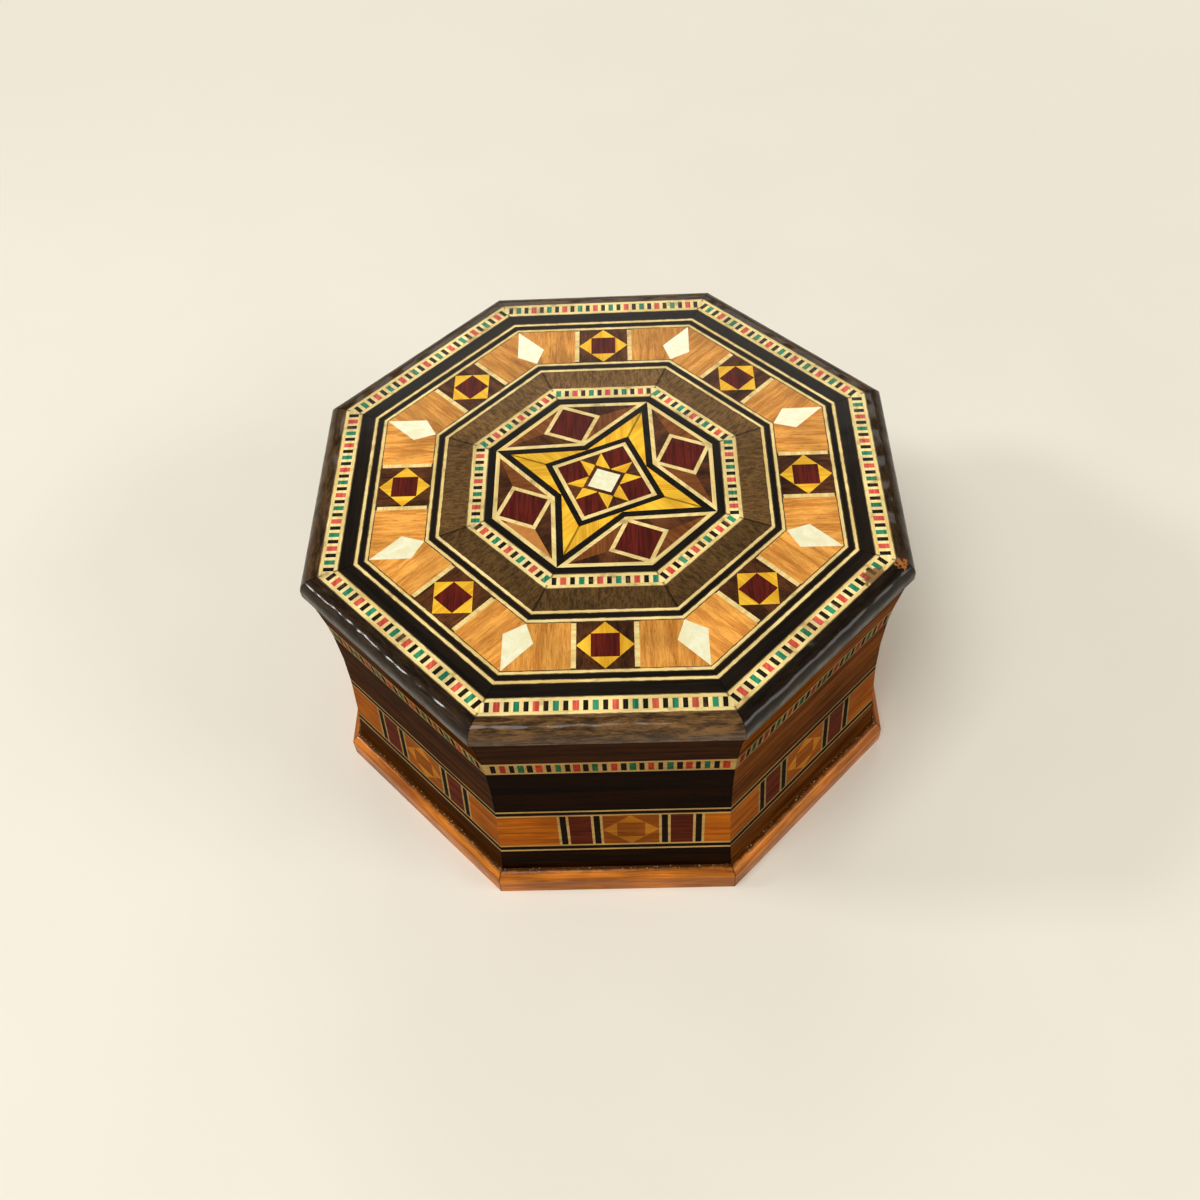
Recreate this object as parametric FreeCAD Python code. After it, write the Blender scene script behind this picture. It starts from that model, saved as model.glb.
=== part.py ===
import FreeCAD, Part
import math
import os

# Eight-sided keepsake box of wood, with an inlaid lid on two hinges. Millimetres, +Z up.
# The origin is the middle of the underside. The front faces -Y and the hinges are at +Y.
# A reach runs from the middle to a flat of the octagon, so it is half of a width across flats.

# Heights, from the table up
base_thickness = 6.0
floor_pad_thickness = 1.0
well_depth = 27.0
lid_hollow_depth = 18.0
lid_pad_thickness = 1.0
lid_board_thickness = 6.0
inlay_thickness = 1.0

# Walls, from the well outwards
well_width = 73.0
lining_thickness = 0.8
wall_thickness = 15.4
glue_line = 0.05
mitre_gap = 0.02
veneer_thickness = 0.8
lid_cove_radius = 100.0
body_cove_radius = 225.0
lining_reveal = 0.5
pad_edge_gap = 0.3

# Mouldings at the lid's edge and at the foot
lid_overhang = 0.6
lid_border_width = 3.5
lid_edge_height = 4.4
lid_edge_round = 2.4
lid_edge_ease = 0.6
plinth_projection = 2.2
plinth_lap = 1.8
plinth_round = 2.0

# Rings of the lid's inlay, from the border inwards
outer_bead_width = 2.0
inner_bead_width = 1.7
bead_edging_width = 0.85
dark_band_width = 2.6
string_light_width = 0.95
string_black_width = 0.95
panel_band_width = 10.0
grey_band_width = 4.8
star_ring_width = 1.45

# Beads in their channels
bead_pitch = 1.68
black_bead_length = 0.85
red_bead_length = 1.1
green_bead_length = 1.0
bead_depth = 0.5

# Panels of the lid's inlay
lid_motif_width = 10.2
lid_cross_line_width = 0.9
kite_half_width = 2.95
kite_shoulder = 3.5

# Star in the middle of the lid
star_seat_gap = 0.05
star_waist_share = 0.446
star_line_width = 1.3
star_frame_width = 0.8
core_line_width = 1.15
core_frame_width = 0.8
core_corner_share = 0.678
pearl_frame_width = 0.75
jewel_corner_gap = 0.3
jewel_frame_width = 0.8

# Bands on the sides
side_bead_height = 4.4
side_bead_drop = 0.9
body_panel_height = 10.4
body_string_light_height = 0.5
body_string_black_height = 1.1
body_panel_drop = 0.4
side_motif_width = 10.8
side_stripe_light_width = 0.5
side_stripe_black_width = 1.2
side_red_width = 4.3
front_motif_shift = 3.3

# Hinges
lid_opening = 100.0
stop_clearance = 1.0
hinge_inset = 1.8
hinge_length = 10.0
hinge_end_margin = 2.0
leaf_depth = 8.0
leaf_thickness = 0.7
barrel_radius = 1.2
barrel_clearance = 0.3
pin_radius = 0.55
pin_clearance = 0.05
knuckle_gap = 0.1
mortise_clearance = 0.05

# Levels and reaches that follow from the sizes above
SIDE_NAMES = ["front", "front_right", "right", "back_right", "back", "back_left", "left", "front_left"]
SIDES = len(SIDE_NAMES)
TURN = 360.0 / SIDES
HALF_TURN_TAN = math.tan(math.pi / SIDES)
HALF_TURN_COS = math.cos(math.pi / SIDES)
ORIGIN = FreeCAD.Vector(0, 0, 0)
UP = FreeCAD.Vector(0, 0, 1)
ALONG = FreeCAD.Vector(1, 0, 0)

seam_z = base_thickness + floor_pad_thickness + well_depth
board_z = seam_z + lid_hollow_depth + lid_pad_thickness
inlay_z = board_z + lid_board_thickness
top_z = inlay_z + inlay_thickness
edge_z = top_z - lid_edge_height

well_reach = well_width / 2
wall_inner = well_reach + lining_thickness
veneer_back = veneer_thickness + glue_line
waist = wall_inner + wall_thickness + veneer_back


def cove_reach(radius, z, depth=0.0):
    """Reach of a cove at height z, or of a surface set in behind it by depth."""
    return waist + radius - math.sqrt((radius + depth) ** 2 - (z - seam_z) ** 2)


wall_top = cove_reach(lid_cove_radius, edge_z)
wall_foot = cove_reach(body_cove_radius, base_thickness)
lid_reach = wall_top + lid_overhang
plinth_inner = wall_foot - plinth_lap
plinth_reach = wall_foot + plinth_projection
far = plinth_reach + lid_reach

hinge_y = waist - hinge_inset
bevel_angle = math.radians((lid_opening + stop_clearance) / 2)


# Building blocks, made on the front side: s runs along it, r outwards
def at(s, r, z):
    return FreeCAD.Vector(s, -r, z)


def flat_face(points):
    return Part.Face(Part.makePolygon(points + points[:1]))


def upright(outline, z_low, z_high):
    """Block with an outline of (s, r) points."""
    face = flat_face([at(s, r, z_low) for s, r in outline])
    return face.extrude(UP * (z_high - z_low))


def moulding(edges, s_low, s_high):
    """Bar along the side whose section is the closed chain of edges at s = 0."""
    face = Part.Face(Part.Wire(edges))
    face.translate(ALONG * s_low)
    return face.extrude(ALONG * (s_high - s_low))


def line(r_start, z_start, r_end, z_end):
    return Part.LineSegment(at(0, r_start, z_start), at(0, r_end, z_end)).toShape()


def quarter_round(r_centre, z_centre, radius, first_angle, last_angle):
    """Arc of a section, with angles from outwards towards up."""
    points = []
    for angle in (first_angle, (first_angle + last_angle) / 2, last_angle):
        out, up = math.cos(math.radians(angle)), math.sin(math.radians(angle))
        points.append(at(0, r_centre + radius * out, z_centre + radius * up))
    return Part.Arc(*points).toShape()


SECTOR = upright([(0, 0), (-far * HALF_TURN_TAN, far), (far * HALF_TURN_TAN, far)], -top_z, 2 * top_z)


def mitred(shape):
    """Trim a long bar of the front side to its eighth of the octagon."""
    return shape.common(SECTOR).Solids[0]


def turned(shape, side):
    return shape.rotated(ORIGIN, UP, TURN * side)


def around(shapes):
    """Copies of the front side's solids on all sides."""
    return [turned(shape, side) for side in range(SIDES) for shape in shapes]


def strip(inner, outer):
    """Outline of one side of a mitred ring, short of the mitres by their gap."""
    a, b = inner * HALF_TURN_TAN - mitre_gap, outer * HALF_TURN_TAN - mitre_gap
    return [(-b, outer), (b, outer), (a, inner), (-a, inner)]


def octagon(reach):
    corner = reach * HALF_TURN_TAN
    return [(-corner, reach), (corner, reach), (reach, corner), (reach, -corner),
            (corner, -reach), (-corner, -reach), (-reach, -corner), (-reach, corner)]


parts = {}


def add(node, solids):
    """Keep solids for a node, which may be filled in several steps."""
    parts.setdefault(node, []).extend(solids)


# The groove along the back edge that lets the lid open and then stops it
def back_bevel(way):
    """Wedge behind the hinge line, below it (-1) or above it (+1)."""
    depth = far - hinge_y
    rise = depth * math.tan(bevel_angle)
    section = [FreeCAD.Vector(-far, hinge_y, seam_z),
               FreeCAD.Vector(-far, far, seam_z),
               FreeCAD.Vector(-far, far, seam_z + way * rise)]
    return flat_face(section).extrude(ALONG * 2 * far)


BEVELS = {"body": back_bevel(-1), "lid": back_bevel(1)}


def bevelled(shape, body):
    """Cut the groove into a solid that reaches behind the hinge line."""
    if shape.BoundBox.YMax <= hinge_y:
        return shape
    return shape.cut(BEVELS[body]).Solids[0]


# Coved walls, and the strips of veneer that make up their faces
COVES = {"body": body_cove_radius, "lid": lid_cove_radius}


def cove_arc(body, z_start, z_end, depth):
    radius = COVES[body]
    levels = [z_start, (z_start + z_end) / 2, z_end]
    return Part.Arc(*[at(0, cove_reach(radius, z, depth), z) for z in levels]).toShape()


def veneer_bar(body, z_low, z_high, s_low, s_high):
    """Strip of veneer, flat between two heights of a cove, from s_low to s_high."""
    radius = COVES[body]
    face = [(cove_reach(radius, z), z) for z in (z_low, z_high)]
    back = [(cove_reach(radius, z, veneer_thickness), z) for z in (z_high, z_low)]
    return flat_face([at(s_low, r, z) for r, z in face + back]).extrude(ALONG * (s_high - s_low))


def veneer_band(body, z_low, z_high):
    """Strip of veneer that runs the length of a side."""
    return mitred(veneer_bar(body, z_low, z_high, -far, far))


def veneer_shape(body, outline, z_low, z_high):
    """Veneer cut to an outline of (s, z) points."""
    outwards = FreeCAD.Vector(0, wall_inner - far, 0)
    cutter = flat_face([at(s, wall_inner, z) for s, z in outline]).extrude(outwards)
    return veneer_bar(body, z_low, z_high, -far, far).common(cutter).Solids[0]


def wall(body, z_low, z_high):
    """Mitred stave with a coved face, bare of veneer."""
    radius = COVES[body]
    face = cove_arc(body, z_low, z_high, veneer_back)
    top = line(cove_reach(radius, z_high, veneer_back), z_high, wall_inner, z_high)
    back = line(wall_inner, z_high, wall_inner, z_low)
    foot = line(wall_inner, z_low, cove_reach(radius, z_low, veneer_back), z_low)
    return mitred(moulding([face, top, back, foot], -far, far))


# Hinges: two butt hinges let into the rims, in the frame of the hinge line
hinge_end = (hinge_y - leaf_depth) * HALF_TURN_TAN - hinge_end_margin
hinge_places = [hinge_length / 2 - hinge_end, hinge_end - hinge_length / 2]
knuckle_length = hinge_length / 3


def rod(radius, x_low, x_high):
    return Part.makeCylinder(radius, x_high - x_low, FreeCAD.Vector(x_low, hinge_y, seam_z), ALONG)


def slab(x_low, x_high, y_low, y_high, way, thickness):
    """Flat plate that lies under (-1) or over (+1) the seam."""
    z_low = seam_z if way > 0 else seam_z - thickness
    corner = FreeCAD.Vector(x_low, y_low, z_low)
    return Part.makeBox(x_high - x_low, y_high - y_low, thickness, corner)


def leaf(x_middle, way, knuckles):
    """Plate in its rim with its own knuckles round the pin."""
    low, high = x_middle - hinge_length / 2, x_middle + hinge_length / 2
    inner = hinge_y - leaf_depth
    clear_of_barrel = hinge_y - barrel_radius - knuckle_gap
    shape = slab(low, high, inner, clear_of_barrel, way, leaf_thickness)
    for k_low, k_high in knuckles:
        arm = slab(k_low, k_high, inner, hinge_y, way, leaf_thickness)
        shape = shape.fuse([arm, rod(barrel_radius, k_low, k_high)])
    bored = shape.cut(rod(pin_radius + pin_clearance, low, high))
    return bored.removeSplitter().Solids[0]


def hinge_mortises(way):
    """What the back wall loses for its two leaves and their barrels."""
    cutters = []
    for x in hinge_places:
        low, high = x - hinge_length / 2, x + hinge_length / 2
        inner = hinge_y - leaf_depth - mortise_clearance
        side = mortise_clearance
        cutters.append(slab(low - side, high + side, inner, hinge_y, way, leaf_thickness))
        room = barrel_radius + barrel_clearance
        end = barrel_clearance
        cutters.append(slab(low - end, high + end, hinge_y - room, far, way, room))
    return cutters


def make_hinges():
    for name, x in zip(["left", "right"], hinge_places):
        low, high = x - hinge_length / 2, x + hinge_length / 2
        first, second = low + knuckle_length, high - knuckle_length
        add("hinge_body_leaf_" + name, [leaf(x, -1, [(low, first), (second, high)])])
        add("hinge_lid_leaf_" + name, [leaf(x, 1, [(first + knuckle_gap, second - knuckle_gap)])])
        add("hinge_pin_" + name, [rod(pin_radius, low, high)])


# Carcass
def make_walls():
    stave = wall("body", base_thickness, seam_z)
    rim = wall("lid", seam_z, board_z)
    for side, name in enumerate(SIDE_NAMES):
        body_wall = bevelled(turned(stave, side), "body")
        lid_wall = bevelled(turned(rim, side), "lid")
        if name == "back":
            body_wall = body_wall.cut(hinge_mortises(-1)).Solids[0]
            lid_wall = lid_wall.cut(hinge_mortises(1)).Solids[0]
        add("wall_" + name, [body_wall])
        add("lid_wall_" + name, [lid_wall])


def make_base():
    add("base_panel", [upright(octagon(plinth_inner), 0.0, base_thickness)])
    nose = min(plinth_round, plinth_projection, base_thickness)
    shoulder, turn_z = plinth_reach - nose, base_thickness - nose
    edges = [line(plinth_inner, 0.0, plinth_reach, 0.0),
             line(plinth_reach, 0.0, plinth_reach, turn_z),
             quarter_round(shoulder, turn_z, nose, 0.0, 90.0),
             line(shoulder, base_thickness, plinth_inner, base_thickness),
             line(plinth_inner, base_thickness, plinth_inner, 0.0)]
    moulded = mitred(moulding(edges, -far, far))
    for side, name in enumerate(SIDE_NAMES):
        add("plinth_" + name, [turned(moulded, side)])


def make_lid_top():
    inner = lid_reach - lid_border_width
    add("lid_board", [upright(octagon(inner), board_z, inlay_z)])
    nose = min(lid_edge_round, lid_border_width)
    ease = min(lid_edge_ease, lid_border_width)
    foot, neck = [cove_reach(lid_cove_radius, z, veneer_back) for z in (board_z, edge_z)]
    edges = [line(inner, board_z, foot, board_z),
             cove_arc("lid", board_z, edge_z, veneer_back),
             line(neck, edge_z, lid_reach - ease, edge_z),
             line(lid_reach - ease, edge_z, lid_reach, edge_z + ease),
             line(lid_reach, edge_z + ease, lid_reach, top_z - nose),
             quarter_round(lid_reach - nose, top_z - nose, nose, 0.0, 90.0),
             line(lid_reach - nose, top_z, inner, top_z),
             line(inner, top_z, inner, board_z)]
    add("lid_border", around([mitred(moulding(edges, -far, far))]))


def make_linings():
    panel = strip(well_reach, wall_inner)
    pad = octagon(well_reach - pad_edge_gap)
    add("well_lining", around([upright(panel, base_thickness, seam_z - lining_reveal)]))
    add("well_floor_pad", [upright(pad, base_thickness, base_thickness + floor_pad_thickness)])
    add("lid_lining", around([upright(panel, seam_z + lining_reveal, board_z)]))
    add("lid_ceiling_pad", [upright(pad, board_z - lid_pad_thickness, board_z)])


# Beads: a light channel with short coloured blocks set in it
BEAD_COLOURS = ["black", "red", "black", "green"]
BEAD_LENGTHS = {"black": black_bead_length, "red": red_bead_length, "green": green_bead_length}


def bead_places(shortest_side):
    """Middle of each bead along a side, with its colour."""
    count = int((shortest_side - red_bead_length) / bead_pitch) + 1
    places = []
    for i in range(count):
        middle = (i - (count - 1) / 2) * bead_pitch
        places.append((middle, BEAD_COLOURS[i % len(BEAD_COLOURS)]))
    return places


def bead_ring(inner, bead_width):
    """Channel and beads on all sides of a ring of the lid's top, with its inner edge given."""
    bead_low = inner + bead_edging_width
    bead_high = bead_low + bead_width
    outer = bead_high + bead_edging_width
    bead_foot = top_z - bead_depth
    trough = [(inner, top_z), (inner, inlay_z), (outer, inlay_z), (outer, top_z),
              (bead_high, top_z), (bead_high, bead_foot), (bead_low, bead_foot), (bead_low, top_z)]
    section = flat_face([at(-far, r, z) for r, z in trough])
    add("bead_channels", around([mitred(section.extrude(ALONG * 2 * far))]))
    for middle, colour in bead_places(2 * bead_low * HALF_TURN_TAN):
        low, high = middle - BEAD_LENGTHS[colour] / 2, middle + BEAD_LENGTHS[colour] / 2
        outline = [(low, bead_low), (high, bead_low), (high, bead_high), (low, bead_high)]
        add("beads_" + colour, around([upright(outline, bead_foot, top_z)]))


# Inlay of the lid's top
def inlay(node, outlines):
    add(node, [upright(outline, inlay_z, top_z) for outline in outlines])


def inlay_around(node, outlines):
    add(node, around([upright(outline, inlay_z, top_z) for outline in outlines]))


def mirrored(outline):
    return [(-s, r) for s, r in outline]


def diamond_motif(half_width, half_height, r_middle):
    """Outlines of a diamond in a panel: four corners, four points and the core."""
    def place(points):
        return [(a * half_width, r_middle + b * half_height) for a, b in points]

    signs = [(1, 1), (-1, 1), (-1, -1), (1, -1)]
    corners = [place([(a, 0), (a, b), (0, b)]) for a, b in signs]
    points = []
    for a, b in [(1, 0), (0, 1), (-1, 0), (0, -1)]:
        one_side = ((a + b) / 2, (a + b) / 2)
        other_side = ((a - b) / 2, (b - a) / 2)
        points.append(place([(a, b), one_side, other_side]))
    core = place([(a / 2, b / 2) for a, b in signs])
    return corners, points, core


def string_rings(inner):
    """Light, black and light line, with the inner edge given; returns the outer edge."""
    black = inner + string_light_width
    light = black + string_black_width
    outer = light + string_light_width
    inlay_around("lid_light_lines", [strip(inner, black), strip(light, outer)])
    inlay_around("lid_black_lines", [strip(black, light)])
    return outer


def make_panel_band(inner, outer):
    """Light wood panels with shell kites on the mitres and a diamond in each side."""
    motif = lid_motif_width / 2
    panel_edge = motif + lid_cross_line_width
    corners, points, core = diamond_motif(motif, (outer - inner) / 2, (inner + outer) / 2)
    inlay_around("lid_walnut_inlays", corners)
    inlay_around("lid_yellow_inlays", points)
    inlay_around("lid_red_inlays", [core])
    cross_line = [(motif, inner), (panel_edge, inner), (panel_edge, outer), (motif, outer)]
    inlay_around("lid_light_lines", [cross_line, mirrored(cross_line)])

    mitre = (math.sin(math.pi / SIDES), math.cos(math.pi / SIDES))
    start, end = inner / HALF_TURN_COS, outer / HALF_TURN_COS
    wide = start + kite_shoulder

    def on_mitre(along, off):
        return (along * mitre[0] + off * mitre[1], along * mitre[1] - off * mitre[0])

    tip_in, tip_out = on_mitre(start, 0.0), on_mitre(end, 0.0)
    near, beyond = on_mitre(wide, -kite_half_width), on_mitre(wide, kite_half_width)
    panel = [(panel_edge, inner), tip_in, near, tip_out, (panel_edge, outer)]
    inlay_around("lid_honey_panels", [panel, mirrored(panel)])
    inlay_around("pearl_inlays", [[tip_in, near, tip_out, beyond]])


# Star in the middle of the lid, which repeats every quarter turn
QUARTERS = 4
QUARTER = 360.0 / QUARTERS


def polar(radius, angle):
    turn = math.radians(angle)
    return FreeCAD.Vector(radius * math.cos(turn), radius * math.sin(turn), 0.0)


def toward(a, b, c, depth):
    """Corner b of an outline a, b, c, moved in by depth from both its sides (to the left of travel)."""
    first = (b - a).normalize()
    second = (c - b).normalize()
    inward = FreeCAD.Vector(-first.y - second.y, first.x + second.x, 0.0)
    share = 1.0 + first.dot(second)
    return b + inward * (depth / share)


def inset(points, depth):
    """Outline moved in by depth all round; points run anticlockwise."""
    following = points[1:] + points[:1]
    return [toward(points[i - 1], p, following[i], depth) for i, p in enumerate(points)]


def plate(points):
    raised = [FreeCAD.Vector(p.x, p.y, inlay_z) for p in points]
    return flat_face(raised).extrude(UP * inlay_thickness)


def frame_bars(outer, inner):
    """Mitred bars between an outline and its inset, short of the mitres by their gap."""
    bars = []
    for i in range(len(outer)):
        back_off = (outer[i] - outer[i - 1]).normalize() * mitre_gap
        bars.append(plate([outer[i - 1] + back_off, outer[i] - back_off,
                           inner[i] - back_off, inner[i - 1] + back_off]))
    return bars


def quarters(solids):
    return [solid.rotated(ORIGIN, UP, QUARTER * k) for k in range(QUARTERS) for solid in solids]


def make_star(reach):
    """Four-pointed star on alternate corners of an octagon, with jewels between its arms."""
    gap_angle = TURN / 2
    tip_angle = gap_angle + TURN
    corner = (reach - star_seat_gap) / HALF_TURN_COS
    waist_radius = corner * star_waist_share
    tips = [polar(corner, tip_angle + QUARTER * k) for k in range(QUARTERS)]
    waists = [polar(waist_radius, gap_angle + QUARTER * (k + 1)) for k in range(QUARTERS)]
    outline = [point for pair in zip(tips, waists) for point in pair]
    inner_outline = inset(outline, star_line_width)
    add("lid_black_lines", frame_bars(outline, inner_outline))

    # Square core whose sides touch the star's waist
    core_half = inner_outline[1].Length

    def square(half):
        return [polar(half * math.sqrt(2), tip_angle + QUARTER * k) for k in range(QUARTERS)]

    frame_half = core_half - core_line_width
    block_half = frame_half - core_frame_width
    add("lid_black_lines", frame_bars(square(core_half), square(frame_half)))
    add("lid_light_lines", frame_bars(square(frame_half), square(block_half)))

    # Arms, each of two yellow triangles that meet on the line to the core's corner
    arm_tip, arm_waist = inner_outline[0], inner_outline[1]
    core_corner = square(core_half)[0]
    waist_other = inner_outline[-1]
    add("lid_yellow_inlays", quarters([plate([arm_tip, arm_waist, core_corner]),
                                       plate([arm_tip, core_corner, waist_other])]))

    # Core block: corner squares, an eight-pointed star and a shell square in a dark frame
    across = polar(1.0, gap_angle)
    along = polar(1.0, gap_angle + QUARTER)

    def in_core(a, b):
        return across * a + along * b

    step = block_half * (1.0 - core_corner_share)
    point = in_core(2 * step, 0.0)
    corner_square = [in_core(step, step), in_core(block_half, step),
                     in_core(block_half, block_half), in_core(step, block_half)]
    yellow_low = [in_core(block_half, -step), point, in_core(step, -step)]
    yellow_high = [in_core(block_half, step), in_core(step, step), point]
    dark = [in_core(block_half, -step), in_core(block_half, step), point]
    add("lid_red_inlays", quarters([plate(corner_square)]))
    add("lid_yellow_inlays", quarters([plate(yellow_low), plate(yellow_high)]))
    add("lid_walnut_inlays", quarters([plate(dark)]))
    pearl_frame = [polar(2 * step, gap_angle + QUARTER * k) for k in range(QUARTERS)]
    pearl = inset(pearl_frame, pearl_frame_width)
    add("lid_walnut_inlays", frame_bars(pearl_frame, pearl))
    add("pearl_inlays", [plate(pearl)])

    # Fields between the arms: a light frame, a red jewel square and four brown triangles
    gap_corner = polar(corner, gap_angle)
    field = [waists[-1], tips[-1], gap_corner, tips[0]]
    field_inner = inset(field, star_frame_width)
    jewel_out = gap_corner.Length - jewel_corner_gap
    jewel_in = waist_radius + jewel_corner_gap
    jewel_middle = (jewel_out + jewel_in) / 2
    jewel_half = (jewel_out - jewel_in) / 2
    jewel = [across * jewel_in, across * jewel_middle - along * jewel_half,
             across * jewel_out, across * jewel_middle + along * jewel_half]
    jewel_inner = inset(jewel, jewel_frame_width)
    jewel_block = plate(jewel)
    bars = [bar.cut(jewel_block).Solids[0] for bar in frame_bars(field, field_inner)]
    add("lid_light_lines", quarters(bars + frame_bars(jewel, jewel_inner)))
    add("lid_red_inlays", quarters([plate(jewel_inner)]))
    inner_waist, low_tip, outer_corner, high_tip = field_inner
    low_side, high_side = jewel[1], jewel[3]
    mid_brown = [[inner_waist, low_tip, low_side], [outer_corner, high_tip, high_side]]
    dark_brown = [[low_side, low_tip, outer_corner], [high_side, high_tip, inner_waist]]
    for node, outlines in [("lid_brown_inlays", mid_brown), ("lid_walnut_inlays", dark_brown)]:
        add(node, quarters([plate(outline).cut(jewel_block).Solids[0] for outline in outlines]))


def make_lid_inlay():
    """All rings of the lid's top, chained from the border inwards."""
    outer = lid_reach - lid_border_width
    bead = outer - outer_bead_width - 2 * bead_edging_width
    dark = bead - dark_band_width
    strings = 2 * string_light_width + string_black_width
    panels = dark - strings
    panels_inner = panels - panel_band_width
    grey = panels_inner - strings
    grey_inner = grey - grey_band_width
    inner_bead = grey_inner - inner_bead_width - 2 * bead_edging_width
    star = inner_bead - star_ring_width
    bead_ring(bead, outer_bead_width)
    inlay_around("lid_dark_band", [strip(dark, bead)])
    string_rings(panels)
    make_panel_band(panels_inner, panels)
    string_rings(grey)
    inlay_around("lid_grey_band", [strip(grey_inner, grey)])
    bead_ring(inner_bead, inner_bead_width)
    inlay_around("lid_black_lines", [strip(star, inner_bead)])
    make_star(star)


# Inlay of the sides
def make_lid_sides():
    bead_low = (seam_z + edge_z - side_bead_height) / 2 - side_bead_drop
    bead_high = bead_low + side_bead_height
    add("side_bead_strips", around([veneer_band("lid", bead_low, bead_high)]))
    levels = [(seam_z, bead_low), (bead_high, board_z), (board_z, edge_z)]
    bands = [veneer_band("lid", low, high) for low, high in levels]
    add("lid_side_bands", [bevelled(band, "lid") for band in around(bands)])


def panel_row(z_low, z_high, shift):
    """Pieces of one side's panel band by node, with the motif moved along the side by shift."""
    pieces = {}

    def put(node, s_low, s_high):
        bar = veneer_bar("body", z_low, z_high, s_low + shift, s_high + shift)
        pieces.setdefault(node, []).append(bar)

    def stripe(start):
        black = start + side_stripe_light_width
        light = black + side_stripe_black_width
        end = light + side_stripe_light_width
        for node, low, high in [("body_light_lines", start, black), ("body_black_lines", black, light),
                                ("body_light_lines", light, end)]:
            put(node, low, high)
            put(node, -high, -low)
        return end

    red = stripe(side_motif_width / 2)
    red_end = red + side_red_width
    put("body_red_blocks", red, red_end)
    put("body_red_blocks", -red_end, -red)
    panel = stripe(red_end)
    pieces["body_honey_panels"] = [mitred(veneer_bar("body", z_low, z_high, panel + shift, far)),
                                   mitred(veneer_bar("body", z_low, z_high, -far, shift - panel))]
    middle = (z_low + z_high) / 2
    corners, points, core = diamond_motif(side_motif_width / 2, (z_high - z_low) / 2, middle)
    for node, outlines in [("body_olive_inlays", corners + [core]), ("body_yellow_inlays", points)]:
        placed = [[(s + shift, z) for s, z in outline] for outline in outlines]
        pieces[node] = [veneer_shape("body", outline, z_low, z_high) for outline in placed]
    return pieces


def make_body_sides():
    strings = 2 * body_string_light_height + body_string_black_height
    group = body_panel_height + 2 * strings
    low = (base_thickness + seam_z - group) / 2 - body_panel_drop
    panel_low = low + strings
    panel_high = panel_low + body_panel_height
    high = panel_high + strings
    bands = [veneer_band("body", base_thickness, low), veneer_band("body", high, seam_z)]
    add("body_side_bands", [bevelled(band, "body") for band in around(bands)])
    for start in (low, panel_high):
        black = start + body_string_light_height
        light = black + body_string_black_height
        end = light + body_string_light_height
        lights = [veneer_band("body", start, black), veneer_band("body", light, end)]
        add("body_light_lines", around(lights))
        add("body_black_lines", around([veneer_band("body", black, light)]))
    even = panel_row(panel_low, panel_high, 0.0)
    shifted = panel_row(panel_low, panel_high, front_motif_shift)
    for side, name in enumerate(SIDE_NAMES):
        row = shifted if name == "front" else even
        for node, solids in row.items():
            add(node, [turned(solid, side) for solid in solids])


make_base()
make_walls()
make_linings()
make_lid_top()
make_lid_inlay()
make_lid_sides()
make_body_sides()
make_hinges()

os.makedirs("parts", exist_ok=True)
for node, solids in parts.items():
    shape = solids[0] if len(solids) == 1 else Part.makeCompound(solids)
    shape.exportStep("parts/" + node + ".step")
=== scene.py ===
import math

import bmesh
import bpy
from mathutils import Matrix, Vector


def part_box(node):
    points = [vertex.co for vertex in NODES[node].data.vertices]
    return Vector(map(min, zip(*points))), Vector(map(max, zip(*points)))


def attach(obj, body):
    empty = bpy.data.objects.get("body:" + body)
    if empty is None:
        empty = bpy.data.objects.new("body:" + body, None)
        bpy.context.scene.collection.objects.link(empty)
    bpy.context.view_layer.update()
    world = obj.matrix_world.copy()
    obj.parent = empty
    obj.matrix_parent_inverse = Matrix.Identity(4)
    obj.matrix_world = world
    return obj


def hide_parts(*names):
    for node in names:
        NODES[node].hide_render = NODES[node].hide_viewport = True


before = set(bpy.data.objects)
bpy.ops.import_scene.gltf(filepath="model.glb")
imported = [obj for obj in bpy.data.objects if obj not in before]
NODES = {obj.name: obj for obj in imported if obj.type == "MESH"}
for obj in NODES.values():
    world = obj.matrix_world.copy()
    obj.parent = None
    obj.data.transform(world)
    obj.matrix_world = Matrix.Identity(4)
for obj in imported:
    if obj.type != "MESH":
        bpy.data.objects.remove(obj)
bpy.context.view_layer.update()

# Sizes of the box in metres, where the pieces below have to meet the solids
MM = 0.001
SIDES = 8
TURN = 2 * math.pi / SIDES
HALF_TURN_TAN = math.tan(math.pi / SIDES)
PAD_EDGE_GAP = 0.3 * MM
seam_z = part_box("wall_front")[1].z
plinth_reach = -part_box("plinth_front")[0].y
strip_low, strip_high = (corner.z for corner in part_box("side_bead_strips"))
pad_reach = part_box("well_floor_pad")[1].x
well_reach = pad_reach + PAD_EDGE_GAP
wall_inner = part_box("well_lining")[1].x


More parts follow.
